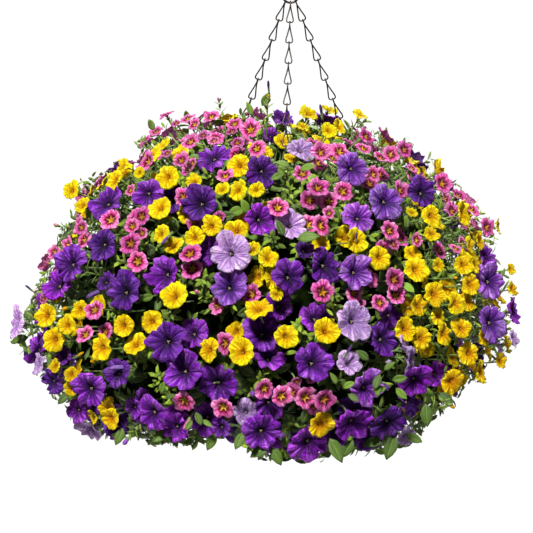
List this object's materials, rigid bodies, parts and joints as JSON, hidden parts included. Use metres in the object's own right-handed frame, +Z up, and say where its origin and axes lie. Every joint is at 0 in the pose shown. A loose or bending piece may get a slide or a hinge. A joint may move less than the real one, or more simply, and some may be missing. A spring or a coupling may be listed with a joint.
{
  "type": "petunia hanging basket",
  "caption": "Round mixed hanging basket: petunias and calibrachoas in purple, violet, lavender, yellow and pink over green leaves, in a plastic pot on wire chains with a hook.",
  "frame": {"origin": "the hang point: the inside of the hook's arc, where it bears on its bracket", "axes": "+Z up, the basket's front faces -Y, +X to the right as seen from the front"},
  "size_m": [0.6985, 0.704, 0.6956],
  "materials": {
    "wire": "dark brown coated steel wire",
    "pot": "moulded dark plastic",
    "soil": "damp fibrous potting soil",
    "foliage": "soft hairy green leaves and stems",
    "purple_bloom": "velvety deep purple petals",
    "violet_bloom": "thin violet petals",
    "lavender_bloom": "thin lavender petals with darker veins",
    "yellow_bloom": "bright yellow petals",
    "pink_bloom": "bright pink petals with a dark throat"
  },
  "bodies": {
    "root": {"green_growth": "foliage", "hanger_chain_front": "wire", "hanger_chain_left": "wire", "hanger_chain_right": "wire", "hanger_hook": "wire", "lavender_petunia_spray_01": "lavender_bloom", "lavender_petunia_spray_02": "lavender_bloom", "lavender_petunia_spray_03": "lavender_bloom", "lavender_petunia_spray_04": "lavender_bloom", "lavender_petunia_spray_05": "lavender_bloom", "pink_calibrachoa_spray_01": "pink_bloom", "pink_calibrachoa_spray_02": "pink_bloom", "pink_calibrachoa_spray_03": "pink_bloom", "pink_calibrachoa_spray_04": "pink_bloom", "pink_calibrachoa_spray_05": "pink_bloom", "pink_calibrachoa_spray_06": "pink_bloom", "pink_calibrachoa_spray_07": "pink_bloom", "pink_calibrachoa_spray_08": "pink_bloom", "pink_calibrachoa_spray_09": "pink_bloom", "pink_calibrachoa_spray_10": "pink_bloom", "pink_calibrachoa_spray_11": "pink_bloom", "pink_calibrachoa_spray_12": "pink_bloom", "pink_calibrachoa_spray_13": "pink_bloom", "pink_calibrachoa_spray_14": "pink_bloom", "pot": "pot", "potting_soil": "soil", "purple_petunia_spray_01": "purple_bloom", "purple_petunia_spray_02": "purple_bloom", "purple_petunia_spray_03": "purple_bloom", "purple_petunia_spray_04": "purple_bloom", "purple_petunia_spray_05": "purple_bloom", "purple_petunia_spray_06": "purple_bloom", "purple_petunia_spray_07": "purple_bloom", "purple_petunia_spray_08": "purple_bloom", "purple_petunia_spray_09": "purple_bloom", "purple_petunia_spray_10": "purple_bloom", "purple_petunia_spray_11": "purple_bloom", "purple_petunia_spray_12": "purple_bloom", "violet_petunia_spray_01": "violet_bloom", "violet_petunia_spray_02": "violet_bloom", "violet_petunia_spray_03": "violet_bloom", "violet_petunia_spray_04": "violet_bloom", "yellow_calibrachoa_spray_01": "yellow_bloom", "yellow_calibrachoa_spray_02": "yellow_bloom", "yellow_calibrachoa_spray_03": "yellow_bloom", "yellow_calibrachoa_spray_04": "yellow_bloom", "yellow_calibrachoa_spray_05": "yellow_bloom", "yellow_calibrachoa_spray_06": "yellow_bloom", "yellow_calibrachoa_spray_07": "yellow_bloom", "yellow_calibrachoa_spray_08": "yellow_bloom", "yellow_calibrachoa_spray_09": "yellow_bloom", "yellow_calibrachoa_spray_10": "yellow_bloom", "yellow_calibrachoa_spray_11": "yellow_bloom", "yellow_calibrachoa_spray_12": "yellow_bloom", "yellow_calibrachoa_spray_13": "yellow_bloom", "yellow_calibrachoa_spray_14": "yellow_bloom", "yellow_calibrachoa_spray_15": "yellow_bloom", "yellow_calibrachoa_spray_16": "yellow_bloom"}
  },
  "joints": []
}
